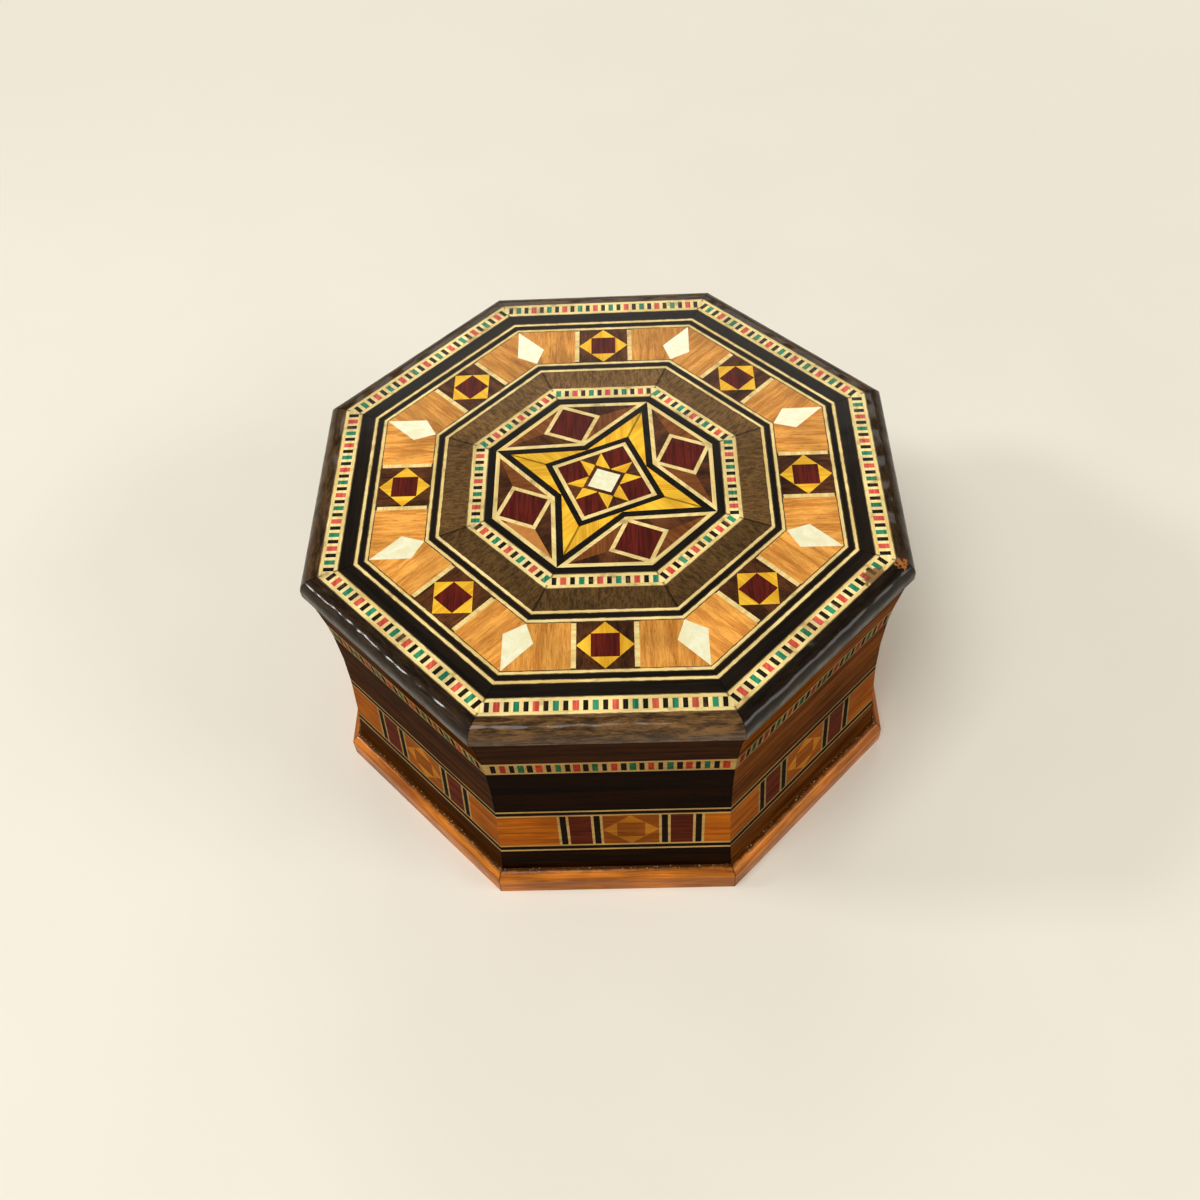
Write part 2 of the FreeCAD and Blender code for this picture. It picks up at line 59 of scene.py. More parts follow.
# Node trees
class Shader:
    """One material, with short calls to add nodes and link them."""

    def __init__(self, name):
        self.material = bpy.data.materials.new(name)
        self.material.use_nodes = True
        self.tree = self.material.node_tree
        self.tree.nodes.clear()

    def feed(self, socket, value):
        if isinstance(value, bpy.types.NodeSocket):
            self.tree.links.new(value, socket)
        elif value is not None:
            socket.default_value = value

    def node(self, kind, settings=None, **inputs):
        made = self.tree.nodes.new("ShaderNode" + kind)
        for key, value in (settings or {}).items():
            setattr(made, key, value)
        for key, value in inputs.items():
            self.feed(made.inputs[key.replace("_", " ")], value)
        return made

    def math(self, operation, *values):
        made = self.node("Math", {"operation": operation})
        for socket, value in zip(made.inputs, values):
            self.feed(socket, value)
        return made.outputs[0]

    def join(self, x, y, z):
        return self.node("CombineXYZ", X=x, Y=y, Z=z).outputs[0]

    def noise(self, vector, scale, detail=3.0, distortion=0.0):
        made = self.node("TexNoise", Vector=vector, Scale=scale, Detail=detail, Distortion=distortion)
        return made.outputs[0]

    def spread(self, value, low, high, to_low=0.0, to_high=1.0):
        """Value carried from one range to another, held at the ends."""
        made = self.node("MapRange", {"interpolation_type": "SMOOTHSTEP"}, Value=value)
        for socket, number in zip(made.inputs[1:5], (low, high, to_low, to_high)):
            self.feed(socket, number)
        return made.outputs[0]

    def blend(self, factor, a, b, how="MIX"):
        made = self.node("Mix", {"data_type": "RGBA", "blend_type": how})
        self.feed(made.inputs[0], factor)
        for socket, value in ((made.inputs[6], a), (made.inputs[7], b)):
            self.feed(socket, (*value, 1.0) if isinstance(value, tuple) else value)
        return made.outputs[2]

    def shaded(self, colour, tone):
        """Colour made darker or lighter by a tone."""
        return self.blend(1.0, colour, self.join(tone, tone, tone), "MULTIPLY")

    def bump(self, height, depth, normal=None):
        return self.node("Bump", Height=height, Distance=depth, Strength=1.0, Normal=normal).outputs[0]

    def surface(self, **inputs):
        shader = self.node("BsdfPrincipled", **inputs)
        output = self.node("OutputMaterial")
        self.tree.links.new(shader.outputs[0], output.inputs[0])
        return self.material

    def place(self):
        """Position on the piece in millimetres, as x, y and z."""
        coordinates = self.node("TexCoord").outputs["Object"]
        scaled = self.node("VectorMath", {"operation": "SCALE"})
        self.feed(scaled.inputs[0], coordinates)
        scaled.inputs["Scale"].default_value = 1 / MM
        split = self.node("SeparateXYZ", Vector=scaled.outputs[0])
        return scaled.outputs[0], split.outputs[0], split.outputs[1], split.outputs[2]

    def side(self, x, y):
        """Distance along a side of the octagon, reach from the middle, and the side's number."""
        heading = self.math("ARCTAN2", x, self.math("MULTIPLY", y, -1.0))
        number = self.math("ROUND", self.math("DIVIDE", heading, TURN))
        angle = self.math("MULTIPLY", number, TURN)
        cosine, sine = self.math("COSINE", angle), self.math("SINE", angle)
        along = self.math("ADD", self.math("MULTIPLY", x, cosine), self.math("MULTIPLY", y, sine))
        reach = self.math("SUBTRACT", self.math("MULTIPLY", x, sine), self.math("MULTIPLY", y, cosine))
        return along, reach, self.math("FLOORED_MODULO", number, float(SIDES))

    def side_of(self, position):
        """The same three values from a position, with its height."""
        split = self.node("SeparateXYZ", Vector=position)
        return (*self.side(split.outputs[0], split.outputs[1]), split.outputs[2])

    def per_side(self, number, tone_and_painted_light):
        """One of eight brightness values, by the side's number: partly a wood's own tone, partly painted light
        and shade.
        """
        ramp = self.node("ValToRGB", Fac=self.math("DIVIDE", self.math("ADD", number, 0.5), float(SIDES)))
        stops = ramp.color_ramp
        stops.interpolation = "CONSTANT"
        while len(stops.elements) < SIDES:
            stops.elements.new(1.0)
        for i, tone in enumerate(tone_and_painted_light):
            stops.elements[i].position = i / SIDES
            stops.elements[i].color = (tone, tone, tone, 1.0)
        return ramp.outputs[0]


# What all woods share. Scales are in waves per millimetre
EVEN = (1.0,) * SIDES
GRAIN_SHIFT = 31.0
BROAD_SHARE = 0.65
PORE_FINENESS = 2.2
PORE_TONE = 0.35
PATCH_SCALE = 0.13
SKIN_SCALE = 0.17
DULL_SCALE = 0.5
JOINT_WIDTH = 0.05
JOINT_TONE = 0.3
COAT_ROUGHNESS = 0.13


def wood(name, light, dark, grain="along", stretch=0.055, band=0.45, fibre=3.0, pores=0.35, tone_and_painted_light=EVEN,
         vary=0.2, gloss=0.25, shine=0.05, rough=0.4, mitre=0.0, relief=0.012, ripple=0.05, wear_and_painted_light=None):
    """Varnished wood. Its grain runs along a side, out from the middle, or plainly from front to back.

    Band and fibre are the scales of the grain, which stretch draws out, and vary is its change in patches.
    Mitre is the width of the dark joint at the corners. Relief and ripple are depths in millimetres.
    """
    sh = Shader(name)
    position, x, y, z = sh.place()
    along, reach, number = sh.side(x, y)
    apart = sh.math("MULTIPLY", number, GRAIN_SHIFT)
    if grain == "along":
        fibres = sh.join(sh.math("MULTIPLY", along, stretch), sh.math("ADD", reach, apart), z)
    elif grain == "out":
        fibres = sh.join(sh.math("ADD", along, apart), sh.math("MULTIPLY", reach, stretch), z)
    else:
        fibres = sh.join(x, sh.math("MULTIPLY", y, stretch), z)
    broad = sh.noise(fibres, band, 4.0, 0.7)
    fine = sh.noise(fibres, fibre, 2.0, 0.2)
    pore = sh.spread(sh.noise(fibres, fibre * PORE_FINENESS, 2.0), 0.56, 0.68)
    weighted = sh.math("MULTIPLY", broad, BROAD_SHARE), sh.math("MULTIPLY", fine, 1 - BROAD_SHARE)
    figure = sh.math("ADD", *weighted)
    colour = sh.blend(sh.spread(figure, 0.36, 0.64), dark, light)
    colour = sh.blend(sh.math("MULTIPLY", pore, pores), colour, tuple(c * PORE_TONE for c in dark))
    drift = sh.spread(sh.noise(position, PATCH_SCALE, 1.0), 0.3, 0.7, 1.0 - vary / 2, 1.0 + vary / 2)
    # Tone per side: partly the wood's own, partly painted light and shade for sides that face the lamps
    # differently
    tone = sh.math("MULTIPLY", drift, sh.per_side(number, tone_and_painted_light))
    if mitre:
        edge = sh.math("SUBTRACT", sh.math("MULTIPLY", reach, HALF_TURN_TAN), sh.math("ABSOLUTE", along))
        tone = sh.math("MULTIPLY", tone, sh.spread(edge, JOINT_WIDTH, JOINT_WIDTH + mitre, JOINT_TONE, 1.0))
    colour = sh.shaded(colour, tone)
    # Marks over the grain: real wear, dirt and glue for some woods, painted shade and painted sparkle
    # highlights for others
    if wear_and_painted_light:
        colour = wear_and_painted_light(sh, position, colour)
    skin = sh.bump(sh.noise(position, SKIN_SCALE, 1.0), ripple * MM)
    flesh = sh.bump(figure, relief * MM, normal=skin)
    roughness = sh.spread(sh.noise(position, DULL_SCALE), 0.3, 0.7, rough - 0.07, rough + 0.09)
    return sh.surface(Base_Color=colour, Roughness=roughness, Normal=flesh, Specular_IOR_Level=shine,
                      Coat_Weight=gloss, Coat_Roughness=COAT_ROUGHNESS, Coat_Normal=skin)


# Wear, painted shade and highlights, and odd pieces, at places in millimetres
CHIP_PLACE, CHIP_SIZE = (53.6, -22.6, 58.8), 1.6
RUB_PLACE, RUB_SIZE = (49.0, -26.0, 60.0), 2.6
WING_PLACE, WING_SIZE = (-14.5, -16.5, 60.0), 8.0


def near(sh, position, point, size, ragged=0.8):
    """Mask of a ragged spot round a point."""
    offset = sh.node("VectorMath", {"operation": "DISTANCE"})
    sh.feed(offset.inputs[0], position)
    offset.inputs[1].default_value = point
    rough = sh.math("MULTIPLY", sh.math("SUBTRACT", sh.noise(position, 1.4), 0.5), 2 * ragged * size)
    return sh.spread(sh.math("ADD", offset.outputs["Value"], rough), size * 1.1, size * 0.8)


def chipped_corner(sh, position, colour):
    """Bare wood where the border's right corner lost its varnish."""
    chip = near(sh, position, CHIP_PLACE, CHIP_SIZE)
    return sh.blend(chip, colour, (0.36, 0.13, 0.03))


def rubbed_beads(sh, position, colour):
    """Dirt in patches, and one stretch of the outer ring rubbed dull."""
    dirt = sh.spread(sh.noise(position, 0.32, 4.0), 0.56, 0.74)
    colour = sh.blend(sh.math("MULTIPLY", dirt, 0.55), colour, (0.20, 0.11, 0.035))
    rub = sh.math("MULTIPLY", near(sh, position, RUB_PLACE, RUB_SIZE), 0.85)
    return sh.blend(rub, colour, (0.16, 0.07, 0.025))


def ring_edges(node):
    """Reaches of the edges of a node's rings, in millimetres, from the corners on the mitres in front."""
    corners = [v.co for v in NODES[node].data.vertices if v.co.y < 0]
    tolerance = 0.05 * MM
    mitred = [c for c in corners if abs(abs(c.x) + c.y * HALF_TURN_TAN) < tolerance]
    return sorted({round(-c.y / MM, 2) for c in mitred})


def glued_edges(reaches):
    """Wear with dark glue lines, uneven in width, at the given reaches."""
    full_width, end_width, widest_loss = 0.26, 0.40, 0.3

    def wear_and_painted_light(sh, position, colour):
        reach = sh.side_of(position)[1]
        uneven = sh.math("MULTIPLY", sh.noise(position, 0.6, 2.0), widest_loss)
        colour = rubbed_beads(sh, position, colour)
        for edge in reaches:
            distance = sh.math("ADD", sh.math("ABSOLUTE", sh.math("SUBTRACT", reach, edge)), uneven)
            glue = sh.spread(distance, full_width, end_width, 0.85, 0.0)
            colour = sh.blend(glue, colour, (0.060, 0.030, 0.012))
        return colour

    return wear_and_painted_light


# A channel has four edges, and its outline is the first and the last of them
channel_edges = ring_edges("bead_channels")
channel_outlines = channel_edges[0::4] + channel_edges[3::4]
string_edges = [reach for reach in ring_edges("lid_light_lines") if reach > channel_edges[0]]


def shaded_corner(sh, position, colour):
    """Painted shade, dark in the corner where a moulding meets the wall, with painted sparkle highlights in it.
    """
    shade_edge = plinth_reach / MM - 0.4
    shade_fade = 1.0
    ragged = sh.math("ADD", sh.side_of(position)[1], sh.noise(position, 0.7))
    painted_shade = sh.spread(ragged, shade_edge, shade_edge - shade_fade)
    # Painted shade towards the wall
    colour = sh.blend(sh.math("MULTIPLY", painted_shade, 0.9), colour, (0.022, 0.009, 0.002))
    # Painted sparkle highlights: pale specks within the painted shade
    painted_sparkle = sh.spread(sh.noise(position, 2.6, 1.0), 0.66, 0.71)
    return sh.blend(sh.math("MULTIPLY", sh.math("MULTIPLY", painted_sparkle, painted_shade), 0.7), colour, (0.55, 0.46, 0.32))


def shade_below_beads(sh, position, colour):
    """Painted shade: the lid's side is darker below its strip of beads, most of all in front."""
    along, reach, number, z = sh.side_of(position)
    least = sh.per_side(number, (0.2, 0.85, 0.85, 0.8, 0.8, 0.8, 0.75, 0.6))
    above = sh.spread(z, strip_low / MM - 0.7, strip_high / MM + 0.9)
    # Painted shade, deepest on the front
    tone = sh.math("ADD", least, sh.math("MULTIPLY", above, sh.math("SUBTRACT", 1.0, least)))
    return sh.shaded(colour, tone)


def odd_wing(sh, position, colour):
    """One triangle beside the star is of a lighter wood than the rest."""
    wing = near(sh, position, WING_PLACE, WING_SIZE, 0.0)
    grain = sh.blend(sh.noise(position, 0.8), (0.40, 0.145, 0.030), (0.62, 0.27, 0.070))
    return sh.blend(sh.math("GREATER_THAN", wing, 0.5), colour, grain)


def pearl_material():
    """Shell, with clouds that differ from kite to kite."""
    sh = Shader("pearl")
    position, x, y, z = sh.place()
    kite = sh.side(y, x)[2]
    cloud_shift = 17.0
    drift = sh.join(sh.math("ADD", x, sh.math("MULTIPLY", kite, cloud_shift)), y, z)
    cloud = sh.noise(drift, 0.28, 4.0, 1.6)
    streak = sh.noise(sh.join(sh.math("MULTIPLY", x, 0.3), y, z), 1.1, 3.0, 2.0)
    colour = sh.blend(sh.spread(cloud, 0.35, 0.65), (0.84, 0.80, 0.50), (0.93, 0.91, 0.66))
    colour = sh.blend(sh.math("MULTIPLY", sh.spread(streak, 0.5, 0.68), 0.25), colour, (0.80, 0.84, 0.60))
    skin = sh.bump(streak, 0.02 * MM)
    return sh.surface(Base_Color=colour, Roughness=0.25, Normal=skin, Coat_Weight=0.5, Coat_Roughness=0.06)


def velvet_material():
    """Dark red pile, brushed in patches."""
    sh = Shader("velvet")
    position = sh.place()[0]
    pile = sh.noise(position, 6.0, 2.0)
    brushed = sh.noise(position, 0.12, 3.0, 0.8)
    colour = sh.blend(sh.spread(brushed, 0.35, 0.65), (0.060, 0.003, 0.006), (0.14, 0.008, 0.014))
    colour = sh.blend(sh.math("MULTIPLY", sh.spread(pile, 0.45, 0.7), 0.5), colour, (0.24, 0.02, 0.03))
    return sh.surface(Base_Color=colour, Roughness=0.95, Normal=sh.bump(pile, 0.08 * MM), Sheen_Weight=0.6,
                      Sheen_Roughness=0.35, Sheen_Tint=(0.9, 0.25, 0.25, 1.0))


def brass_material():
    """Worn brass with fine scratches along the hinge."""
    sh = Shader("brass")
    position, x, y, z = sh.place()
    stain = sh.noise(position, 0.6, 4.0)
    scratch = sh.noise(sh.join(sh.math("MULTIPLY", x, 0.2), sh.math("MULTIPLY", y, 8.0), z), 1.0, 2.0)
    colour = sh.blend(sh.spread(stain, 0.4, 0.7), (0.80, 0.57, 0.22), (0.55, 0.36, 0.12))
    return sh.surface(Base_Color=colour, Metallic=1.0, Roughness=sh.spread(scratch, 0.3, 0.7, 0.2, 0.42),
                      Normal=sh.bump(scratch, 0.01 * MM))


# Woods of the lid's top. Tones go round the sides from the front, by way of the right; they are partly the
# woods' own and partly painted light and shade
# Border tones: partly painted light and shade, darkest on the right front
taupe_border = wood("border_wood", (0.215, 0.110, 0.038), (0.042, 0.021, 0.008), stretch=0.2, band=0.9,
                    fibre=3.0, pores=0.6, tone_and_painted_light=(0.92, 0.07, 0.2, 0.3, 0.42, 0.36, 0.45, 0.16), mitre=0.2,
                    gloss=0.4, ripple=0.6, wear_and_painted_light=chipped_corner)
# Grey band tones rise towards the back: painted sheen
taupe_band = wood("grey_band_wood", (0.135, 0.070, 0.021), (0.050, 0.026, 0.008), grain="out", stretch=0.3,
                  band=1.6, fibre=4.0, pores=0.6, tone_and_painted_light=(0.88, 0.9, 1.35, 1.5, 1.8, 1.6, 1.35, 0.9),
                  mitre=0.35, gloss=0.12)
black_wood = wood("black_wood", (0.014, 0.009, 0.005), (0.005, 0.003, 0.002), pores=0.2, mitre=0.12,
                  gloss=0.15)
black_line = wood("black_line_wood", (0.012, 0.008, 0.005), (0.004, 0.003, 0.002), pores=0.2, gloss=0.1)
light_line = wood("light_line_wood", (0.90, 0.73, 0.33), (0.72, 0.52, 0.18), band=0.8, pores=0.2, vary=0.2,
                  gloss=0.15, wear_and_painted_light=glued_edges(string_edges))
channel = wood("channel_wood", (0.90, 0.73, 0.33), (0.72, 0.52, 0.18), band=0.8, pores=0.2, mitre=0.3,
               vary=0.2, gloss=0.15, wear_and_painted_light=glued_edges(channel_outlines))
# Honey tones: partly painted sheen, brightest on the right front
honey = wood("honey_wood", (0.87, 0.405, 0.080), (0.54, 0.200, 0.033), grain="out", stretch=0.08, band=0.9,
             fibre=4.2, pores=0.5, tone_and_painted_light=(0.85, 1.08, 1.02, 0.82, 0.85, 0.82, 1.05, 1.02), mitre=0.12,
             vary=0.3, gloss=0.15, relief=0.02)
walnut = wood("walnut_wood", (0.125, 0.041, 0.012), (0.026, 0.009, 0.004), grain="out", stretch=0.2,
              band=0.32, vary=0.7, gloss=0.1)
yellow = wood("yellow_wood", (0.95, 0.57, 0.042), (0.72, 0.35, 0.018), grain="out", band=0.7, pores=0.12,
              mitre=0.32, vary=0.3, gloss=0.1)
rosewood = wood("rosewood", (0.135, 0.014, 0.007), (0.055, 0.006, 0.004), grain="plain", band=1.6, fibre=3.5,
                pores=0.5, gloss=0.1)
brown = wood("brown_wood", (0.250, 0.080, 0.018), (0.130, 0.038, 0.009), grain="out", band=0.8, vary=0.3,
             gloss=0.1, wear_and_painted_light=odd_wing)
red_bead = wood("red_bead_wood", (0.74, 0.135, 0.085), (0.50, 0.050, 0.034), grain="plain", band=1.4,
                vary=0.4, pores=0.1, wear_and_painted_light=rubbed_beads)
green_bead = wood("green_bead_wood", (0.036, 0.30, 0.155), (0.010, 0.14, 0.075), grain="plain", band=1.4,
                  vary=0.4, pores=0.1, wear_and_painted_light=rubbed_beads)
light_bead = wood("light_bead_wood", (0.93, 0.79, 0.40), (0.78, 0.59, 0.23), grain="plain", band=1.4,
                  vary=0.4, pores=0.15, gloss=0.15, wear_and_painted_light=rubbed_beads)
black_bead = wood("black_bead_wood", (0.022, 0.014, 0.008), (0.006, 0.004, 0.003), grain="plain", band=1.2,
                  vary=0.5, wear_and_painted_light=rubbed_beads)

# Woods of the sides. The side_ woods have darker colours than the same woods on the top: painted shade for
# sides that face away from the lamps. The per-side tones here are painted light and shade as well
lid_side = wood("lid_side_wood", (0.260, 0.076, 0.007), (0.090, 0.024, 0.002), band=0.55, fibre=2.0,
                pores=0.5, tone_and_painted_light=(0.24, 1.0, 0.95, 0.6, 0.5, 0.5, 0.45, 0.36), mitre=0.15, gloss=0.05,
                shine=0.0, wear_and_painted_light=shade_below_beads)
body_side = wood("body_side_wood", (0.200, 0.058, 0.005), (0.070, 0.019, 0.002), band=0.55, fibre=2.0,
                 pores=0.5, tone_and_painted_light=(0.09, 0.8, 0.85, 0.6, 0.5, 0.5, 0.45, 0.36), mitre=0.15, gloss=0.05,
                 shine=0.0)
side_line = wood("side_line_wood", (0.66, 0.43, 0.15), (0.46, 0.26, 0.075), band=0.8, pores=0.2, gloss=0.08,
                 shine=0.0, tone_and_painted_light=(1.0, 0.5, 0.55, 0.7, 0.7, 0.7, 0.65, 0.65))
side_black = wood("side_black_wood", (0.012, 0.007, 0.003), (0.005, 0.003, 0.001), pores=0.2, gloss=0.06,
                  shine=0.0)
# Brightness of the side beads per side: painted light and shade
BEAD_PAINTED_LIGHT = (1.0, 0.5, 0.6, 0.7, 0.7, 0.7, 0.7, 0.8)
side_red_bead = wood("side_red_bead_wood", (0.56, 0.060, 0.025), (0.34, 0.028, 0.012), grain="plain",
                     band=1.4, vary=0.5, pores=0.1, gloss=0.06, shine=0.0, tone_and_painted_light=BEAD_PAINTED_LIGHT)
side_green_bead = wood("side_green_bead_wood", (0.026, 0.20, 0.085), (0.010, 0.085, 0.036), grain="plain",
                       band=1.4, vary=0.5, pores=0.1, gloss=0.06, shine=0.0, tone_and_painted_light=BEAD_PAINTED_LIGHT)
side_honey = wood("side_honey_wood", (0.60, 0.165, 0.008), (0.36, 0.085, 0.004), band=0.8, fibre=2.6,
                  pores=0.4, vary=0.3, tone_and_painted_light=(1.0, 0.65, 0.65, 0.7, 0.8, 0.75, 0.7, 0.7), gloss=0.08, shine=0.0)
side_red = wood("side_red_wood", (0.130, 0.020, 0.004), (0.060, 0.008, 0.002), band=1.2, pores=0.4,
                gloss=0.08, shine=0.0)
side_olive = wood("side_olive_wood", (0.330, 0.090, 0.006), (0.20, 0.050, 0.003), band=0.9, pores=0.3,
                  gloss=0.08, shine=0.0)
side_yellow = wood("side_yellow_wood", (0.55, 0.21, 0.015), (0.40, 0.135, 0.008), band=0.9, pores=0.2,
                   gloss=0.08, shine=0.0)
plinth_wood = wood("plinth_wood", (0.68, 0.215, 0.020), (0.30, 0.078, 0.007), band=0.5, fibre=2.0, pores=0.5,
                   mitre=0.2, vary=0.35, relief=0.03, wear_and_painted_light=shaded_corner)
carcass = wood("carcass_wood", (0.36, 0.19, 0.08), (0.22, 0.11, 0.045), band=0.6, gloss=0.15, rough=0.6)
underside = wood("underside_wood", (0.30, 0.15, 0.06), (0.19, 0.09, 0.035), grain="plain", band=0.3,
                 gloss=0.1, rough=0.65)
pearl = pearl_material()
velvet = velvet_material()
brass = brass_material()

FINISH = {
    "base_panel": underside, "lid_board": carcass, "lid_border": taupe_border, "lid_grey_band": taupe_band,
    "lid_dark_band": black_wood, "lid_black_lines": black_line, "lid_light_lines": light_line,
    "bead_channels": channel, "beads_black": black_bead, "beads_red": red_bead, "beads_green": green_bead,
    "lid_honey_panels": honey, "lid_walnut_inlays": walnut, "lid_yellow_inlays": yellow,
    "lid_red_inlays": rosewood, "lid_brown_inlays": brown, "pearl_inlays": pearl, "lid_side_bands": lid_side,
    "side_bead_strips": side_line,
    "body_side_bands": body_side, "body_light_lines": side_line, "body_black_lines": side_black,
    "body_honey_panels": side_honey, "body_red_blocks": side_red, "body_olive_inlays": side_olive,
    "body_yellow_inlays": side_yellow,
}
for name, node in NODES.items():
    if name.startswith("plinth_"):
        finish = plinth_wood
    elif name.startswith(("wall_", "lid_wall_")):
        finish = carcass
    elif name.startswith("hinge_"):
        finish = brass
    else:
        finish = FINISH.get(name, velvet)
    node.data.materials.clear()
    node.data.materials.append(finish)


# Pieces that only the scene has
def new_piece(name, mesh, material, body, smooth=True):
    data = bpy.data.meshes.new(name)
    mesh.to_mesh(data)
    mesh.free()
    for polygon in data.polygons:
        polygon.use_smooth = smooth
    data.materials.append(material)
    made = bpy.data.objects.new(name, data)
    bpy.context.scene.collection.objects.link(made)
    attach(made, body)
    return made


def side_turn(number):
    return Matrix.Rotation(TURN * number, 4, "Z")


def block(mesh, corners, depth_vector, matrix):
    """Small block with four corners in front, as deep as a vector, placed by a matrix."""
    front = [mesh.verts.new(matrix @ c) for c in corners]
    back = [mesh.verts.new(matrix @ (c + depth_vector)) for c in corners]
    mesh.faces.new(front)
    mesh.faces.new(list(reversed(back)))
    for i in range(4):
        j = (i + 1) % 4
        mesh.faces.new([front[j], front[i], back[i], back[j]])


def side_beads():
    """Coloured blocks in the light strip round the lid's side."""
    low, high = strip_low, strip_high
    strip = NODES["side_bead_strips"].data.vertices
    tolerance = 0.01 * MM
    reach_low = max(-v.co.y for v in strip if abs(v.co.z - low) < tolerance)
    reach_high = max(-v.co.y for v in strip if abs(v.co.z - high) < tolerance)
    edge = 0.68 * MM
    proud = 0.02 * MM
    pitch = 1.66 * MM
    end_margin = 0.4 * MM
    uneven_place, uneven_length = 0.06 * MM, 0.12
    lengths = {"black": 0.92 * MM, "red": 1.15 * MM, "green": 1.08 * MM}
    order = ["black", "red", "black", "green"]
    finish = {"black": side_black, "red": side_red_bead, "green": side_green_bead}
    meshes = {colour: bmesh.new() for colour in lengths}
    inward = Vector((0, 0.3 * MM, 0))

    def point(s, z):
        share = (z - low) / (high - low)
        return Vector((s, -(reach_low + share * (reach_high - reach_low)) - proud, z))

    half_side = reach_low * HALF_TURN_TAN - end_margin
    count = int((2 * half_side - lengths["red"]) / pitch) + 1
    for number in range(SIDES):
        for i in range(count):
            colour = order[(i + number) % len(order)]
            wobble = uneven_place * math.sin(7.3 * i + 2.1 * number)
            middle = (i - (count - 1) / 2) * pitch + wobble
            half = lengths[colour] / 2 * (1 + uneven_length * math.sin(5.1 * i + number))
            s_low, s_high = middle - half, middle + half
            corners = [point(s_low, low + edge), point(s_high, low + edge),
                       point(s_high, high - edge), point(s_low, high - edge)]
            block(meshes[colour], corners, inward, side_turn(number))
    for colour, mesh in meshes.items():
        new_piece("side_beads_" + colour, mesh, finish[colour], "lid", smooth=False)


def ring_fill():
    """Light blocks that fill the channels of the lid's top between the coloured beads."""
    nodes = [NODES["beads_" + colour] for colour in ("black", "red", "green")]
    low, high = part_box("beads_black")[0].z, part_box("beads_black")[1].z
    play, sunk = 0.01 * MM, 0.02 * MM
    floor, face = low + play, high - sunk
    edges = {}
    for node in nodes:
        for v in node.data.vertices:
            reach = -v.co.y
            if reach > 0 and abs(v.co.x) < reach * HALF_TURN_TAN:
                edges.setdefault(round(reach / MM, 2), set()).add(round(v.co.x / MM, 3))
    fewest_ends = 12
    reaches = sorted(r for r, found in edges.items() if len(found) > fewest_ends)
    mesh = bmesh.new()
    for inner, outer in zip(reaches[::2], reaches[1::2]):
        first, last = inner * MM + play, outer * MM - play
        mitre_end = [first * HALF_TURN_TAN, last * HALF_TURN_TAN]
        ends = [[-x for x in mitre_end]] + [[x * MM, x * MM] for x in sorted(edges[inner])] + [mitre_end]
        for number in range(SIDES):
            for left, right in zip(ends[::2], ends[1::2]):
                corners = [Vector((left[0] + play, -first, face)), Vector((left[1] + play, -last, face)),
                           Vector((right[1] - play, -last, face)), Vector((right[0] - play, -first, face))]
                block(mesh, corners, Vector((0, 0, floor - face)), side_turn(number))
    bmesh.ops.recalc_face_normals(mesh, faces=mesh.faces)
    new_piece("beads_light", mesh, light_bead, "lid", smooth=False)


def crowned_pad(name, node, back_z, face_z, body):
    """Pad with eight sides, high in the middle and rolled in at its edge."""
    mesh = bmesh.new()
    thickness = face_z - back_z
    rings = [1.0, 0.995, 0.985, 0.965, 0.94, 0.9, 0.8, 0.65, 0.5, 0.35, 0.2, 0.08]
    per_side = 8
    back_share, edge_height, unevenness = 0.99, 0.15, 0.03

    def rim_point(index, share):
        number, step = divmod(index, per_side)
        s = (2 * step / per_side - 1) * pad_reach * HALF_TURN_TAN
        p = side_turn(number) @ Vector((s, -pad_reach, 0))
        return p * share

    total = SIDES * per_side
    base = [mesh.verts.new((*rim_point(i, back_share).xy, back_z)) for i in range(total)]
    loops = [base]
    for share in rings:
        lift = (1 - share ** 14) ** 0.5 * 0.75 + 0.25 * (1 - share ** 2)
        loop = []
        for i in range(total):
            p = rim_point(i, share)
            ripple = unevenness * math.sin(p.x * 410 + 1.3) * math.sin(p.y * 370 + 0.4)
            height = edge_height + (1 - edge_height) * lift + ripple
            loop.append(mesh.verts.new((p.x, p.y, back_z + thickness * height)))
        loops.append(loop)
    for lower, upper in zip(loops, loops[1:]):
        for i in range(total):
            j = (i + 1) % total
            mesh.faces.new([lower[i], lower[j], upper[j], upper[i]])
    mesh.faces.new(loops[-1])
    mesh.faces.new(list(reversed(base)))
    bmesh.ops.recalc_face_normals(mesh, faces=mesh.faces)
    pad = new_piece(name, mesh, velvet, body)
    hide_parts(node)


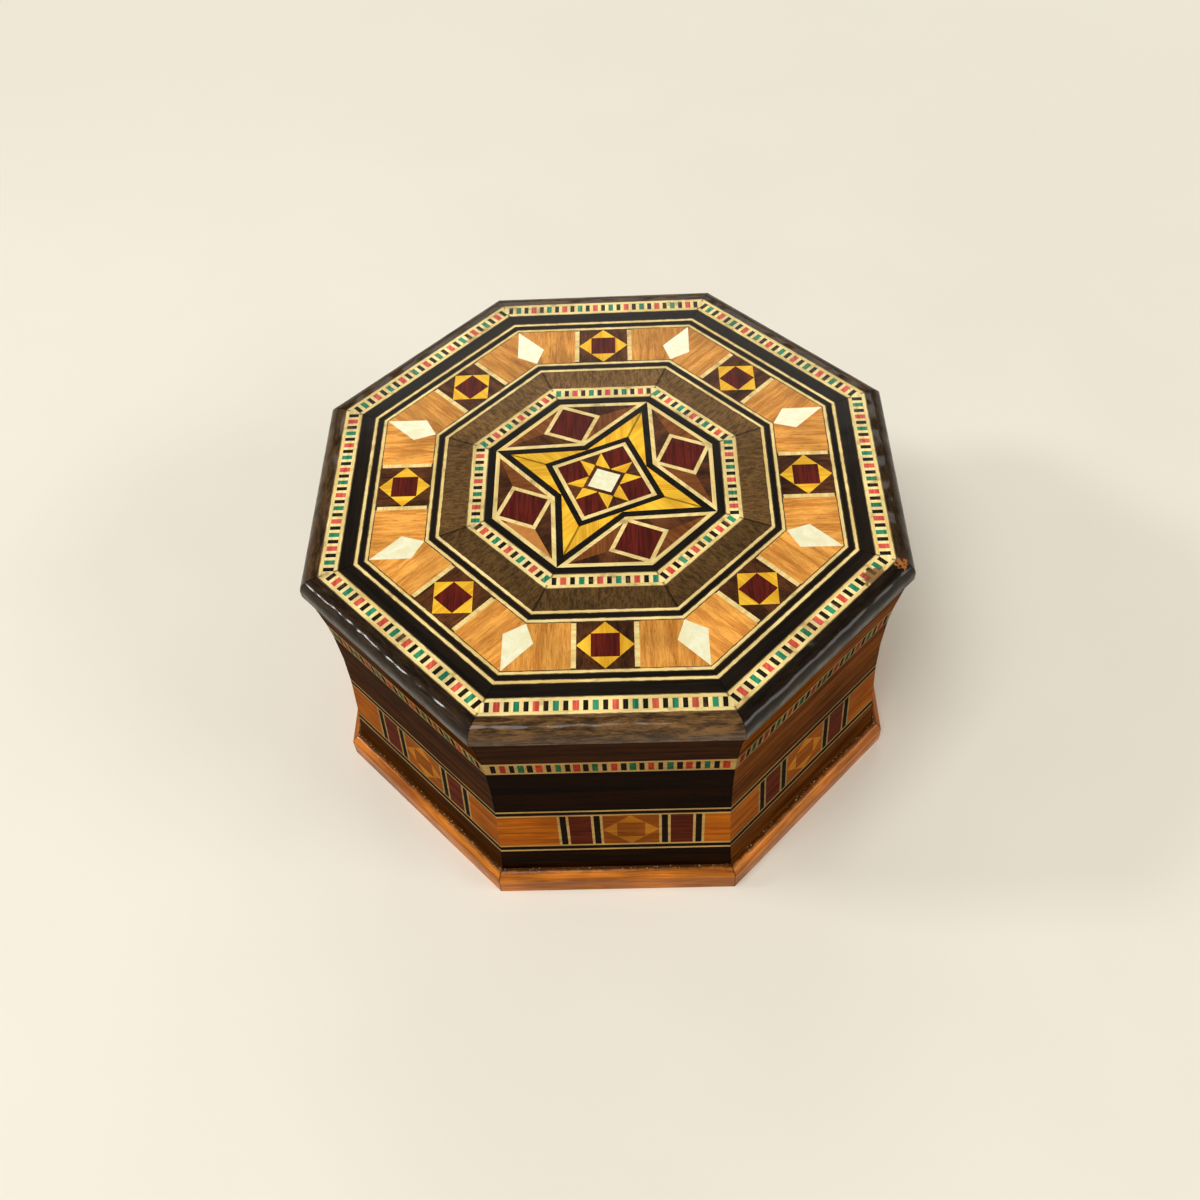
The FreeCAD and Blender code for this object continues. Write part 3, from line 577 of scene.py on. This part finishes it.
def padded_walls(name, node, body):
    """Eight cloth-covered panels, each a little full in its middle."""
    low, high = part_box(node)[0].z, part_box(node)[1].z
    mesh = bmesh.new()
    across, upward = 22, 14
    thickness = wall_inner - well_reach
    corner_gap = 0.05 * MM
    edge_depth, fullness, unevenness = 0.7, 0.25, 0.05
    for number in range(SIDES):
        matrix = side_turn(number)
        half = well_reach * HALF_TURN_TAN - corner_gap
        front, back = [], []
        for j in range(upward + 1):
            v = j / upward
            front.append([])
            for i in range(across + 1):
                u = 2 * i / across - 1
                full = (1 - abs(u) ** 10) ** 0.5 * (1 - abs(2 * v - 1) ** 12) ** 0.5
                ripple = unevenness * math.sin(9 * u + number) * math.sin(7 * v + 2 * number)
                depth = thickness * (edge_depth + fullness * full + ripple * full)
                p = Vector((u * half, -(wall_inner - depth), low + v * (high - low)))
                front[-1].append(mesh.verts.new(matrix @ p))
        for j in range(upward):
            for i in range(across):
                mesh.faces.new([front[j][i], front[j + 1][i], front[j + 1][i + 1], front[j][i + 1]])
        rim = front[0] + [row[-1] for row in front[1:-1]]
        rim += front[-1][::-1] + [row[0] for row in front[-2:0:-1]]
        for v in rim:
            local = matrix.inverted() @ v.co
            local.y = -wall_inner
            back.append(mesh.verts.new(matrix @ local))
        for i in range(len(rim)):
            j = (i + 1) % len(rim)
            mesh.faces.new([rim[i], rim[j], back[j], back[i]])
        mesh.faces.new(back)
    bmesh.ops.recalc_face_normals(mesh, faces=mesh.faces)
    lining = new_piece(name, mesh, velvet, body)
    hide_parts(node)


def screws(name, nodes, z_face, way, body):
    """Countersunk heads with a slot on the hinge leaves."""
    mesh = bmesh.new()
    radius, rise, slot_half, slot_depth = 0.85 * MM, 0.02 * MM, 0.13 * MM, 0.25 * MM
    from_edge, from_end = 2.4 * MM, 2.2 * MM
    crown, skirt_height, steps = 0.93, 0.2, 12
    limit = math.asin(slot_half / radius)
    for node in nodes:
        low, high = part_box(node)
        y = low.y + from_edge
        for k, x in enumerate((low.x + from_end, high.x - from_end)):
            turn = Matrix.Rotation(0.7 + 1.1 * k + 40 * low.x / MM, 4, "Z")
            place = Matrix.Translation((x, y, z_face)) @ turn
            for half in (1, -1):
                rim = []
                for i in range(steps + 1):
                    a = limit + (math.pi - 2 * limit) * i / steps
                    rim.append((radius * math.cos(a), half * radius * math.sin(a)))
                shift = half * (1 - crown) * slot_half
                crowned = [(px * crown, py * crown + shift, way * rise) for px, py in rim]
                top = [mesh.verts.new(place @ Vector(point)) for point in crowned]
                skirt_rise = way * rise * skirt_height
                skirt = [mesh.verts.new(place @ Vector((px, py, skirt_rise))) for px, py in rim]
                foot = [mesh.verts.new(place @ Vector((px, py, -way * slot_depth))) for px, py in rim]
                mesh.faces.new(top)
                mesh.faces.new(list(reversed(foot)))
                for a, b in ((top, skirt), (skirt, foot)):
                    for i in range(len(rim)):
                        j = (i + 1) % len(rim)
                        mesh.faces.new([a[i], b[i], b[j], a[j]])
    bmesh.ops.recalc_face_normals(mesh, faces=mesh.faces)
    new_piece(name, mesh, brass, body, smooth=False)


side_beads()
ring_fill()
floor_back, floor_face = (corner.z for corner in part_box("well_floor_pad"))
ceiling_face, ceiling_back = (corner.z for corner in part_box("lid_ceiling_pad"))
crowned_pad("well_velvet_floor", "well_floor_pad", floor_back, floor_face, "body")
crowned_pad("lid_velvet_ceiling", "lid_ceiling_pad", ceiling_back, ceiling_face, "lid")
padded_walls("well_velvet_walls", "well_lining", "body")
padded_walls("lid_velvet_walls", "lid_lining", "lid")
screws("screws_body", ["hinge_body_leaf_left", "hinge_body_leaf_right"], seam_z, 1, "body")
screws("screws_lid", ["hinge_lid_leaf_left", "hinge_lid_leaf_right"], seam_z, -1, "lid")


# Floor, light and camera
BACKGROUND = (0.855, 0.799, 0.665)
FLOOR_TINT = (0.98, 1.01, 1.09)
FLOOR_BOUNCE = (0.36, 0.30, 0.22)
FLOOR_RADIUS = 6.0
FADE_START, FADE_END = 120.0, 420.0
OVERHEAD = (0.16, 0.15, 0.13)
DIM_FROM, DIM_TO = 0.25, 0.60


def seen_plainly(tree):
    """One for rays from the camera, mirrors and glass, and zero for light that is only scattered."""
    path = tree.nodes.new("ShaderNodeLightPath")
    total = path.outputs["Is Camera Ray"]
    for kind in ("Is Glossy Ray", "Is Transmission Ray"):
        most = tree.nodes.new("ShaderNodeMath")
        most.operation = "MAXIMUM"
        tree.links.new(total, most.inputs[0])
        tree.links.new(path.outputs[kind], most.inputs[1])
        total = most.outputs[0]
    return total


def floor_material():
    """Pale floor that keeps the box's shadow near it and fades into the background far from it."""
    sh = Shader("floor")
    position = sh.place()[0]
    mottle = sh.noise(position, 0.02, 2.0)
    tinted = [c * share for c, share in zip(BACKGROUND, FLOOR_TINT)]
    pale = sh.blend(sh.spread(mottle, 0.3, 0.7), tuple(tinted), tuple(1.02 * c for c in tinted))
    seen = seen_plainly(sh.tree)
    colour = sh.blend(seen, FLOOR_BOUNCE, pale)
    cloth = sh.node("BsdfPrincipled", Base_Color=colour, Roughness=0.9, Specular_IOR_Level=0.0)
    glow = sh.node("Emission", Color=(*BACKGROUND, 1.0), Strength=1.0)
    away = sh.node("VectorMath", {"operation": "LENGTH"})
    sh.feed(away.inputs[0], position)
    far = sh.math("MULTIPLY", sh.spread(away.outputs["Value"], FADE_START, FADE_END), seen)
    mix = sh.node("MixShader", Fac=far)
    output = sh.node("OutputMaterial")
    sh.tree.links.new(cloth.outputs[0], mix.inputs[1])
    sh.tree.links.new(glow.outputs[0], mix.inputs[2])
    sh.tree.links.new(mix.outputs[0], output.inputs[0])
    return sh.material


def add_floor():
    mesh = bmesh.new()
    bmesh.ops.create_circle(mesh, cap_ends=True, radius=FLOOR_RADIUS, segments=64)
    data = bpy.data.meshes.new("floor")
    mesh.to_mesh(data)
    mesh.free()
    data.materials.append(floor_material())
    floor = bpy.data.objects.new("floor", data)
    bpy.context.scene.collection.objects.link(floor)


def add_light(name, place, target, size, power, colour):
    data = bpy.data.lights.new(name, "AREA")
    data.shape = "RECTANGLE"
    data.size, data.size_y = size
    data.energy = power
    data.color = colour
    lamp = bpy.data.objects.new(name, data)
    bpy.context.scene.collection.objects.link(lamp)
    lamp.location = place
    lamp.rotation_mode = "QUATERNION"
    lamp.rotation_quaternion = (Vector(target) - Vector(place)).to_track_quat("-Z", "Y")


def add_world():
    """Studio that is pale round the horizon and dim overhead."""
    world = bpy.data.worlds.new("studio")
    bpy.context.scene.world = world
    world.use_nodes = True
    tree = world.node_tree
    tree.nodes.clear()
    heading = tree.nodes.new("ShaderNodeTexCoord")
    split = tree.nodes.new("ShaderNodeSeparateXYZ")
    rise = tree.nodes.new("ShaderNodeMapRange")
    rise.interpolation_type = "SMOOTHSTEP"
    rise.inputs["From Min"].default_value = DIM_FROM
    rise.inputs["From Max"].default_value = DIM_TO
    sky = tree.nodes.new("ShaderNodeMix")
    sky.data_type = "RGBA"
    sky.inputs[6].default_value = (*BACKGROUND, 1.0)
    sky.inputs[7].default_value = (*OVERHEAD, 1.0)
    light = tree.nodes.new("ShaderNodeBackground")
    output = tree.nodes.new("ShaderNodeOutputWorld")
    tree.links.new(heading.outputs["Generated"], split.inputs[0])
    tree.links.new(split.outputs[2], rise.inputs["Value"])
    tree.links.new(rise.outputs[0], sky.inputs[0])
    tree.links.new(sky.outputs[2], light.inputs[0])
    tree.links.new(light.outputs[0], output.inputs[0])


def add_camera():
    """Camera at the photograph's angle: turned, raised and rolled about a point in the box."""
    azimuth, elevation, roll = math.radians(3.12), math.radians(52.68), math.radians(-4.12)
    target = Vector((-2.14, -6.21, 30.0)) * MM
    distance = 258.31 * MM
    picture_width, focal_pixels = 1200.0, 1231.0
    back = Vector((math.sin(azimuth) * math.cos(elevation), -math.cos(azimuth) * math.cos(elevation),
                   math.sin(elevation)))
    right = (-back).cross(Vector((0, 0, 1))).normalized()
    up = right.cross(-back)
    across = math.cos(roll) * right + math.sin(roll) * up
    above = -math.sin(roll) * right + math.cos(roll) * up
    data = bpy.data.cameras.new("camera")
    data.sensor_width = 36.0
    data.lens = data.sensor_width * focal_pixels / picture_width
    data.clip_start = 0.01
    camera = bpy.data.objects.new("camera", data)
    bpy.context.scene.collection.objects.link(camera)
    camera.matrix_world = Matrix.Translation(target + back * distance) @ Matrix(
        (across, above, back)).transposed().to_4x4()
    bpy.context.scene.camera = camera


add_floor()
add_world()
add_camera()
add_light("key", (-0.55, -0.55, 1.75), (0, 0, 0.04), (0.9, 0.9), 19.0, (1.0, 0.985, 0.96))
add_light("fill", (1.4, -0.5, 0.9), (0, 0, 0.03), (0.8, 0.6), 8.0, (1.0, 0.97, 0.93))
add_light("sheen", (0.05, 1.2, 1.05), (0, 0, 0.06), (0.9, 0.28), 2.5, (1.0, 0.97, 0.90))
add_light("glint", (-0.75, 0.0, 0.58), (-0.03, -0.03, 0.06), (0.12, 0.12), 2.2, (1.0, 0.97, 0.92))
bpy.context.scene.view_settings.view_transform = "Standard"
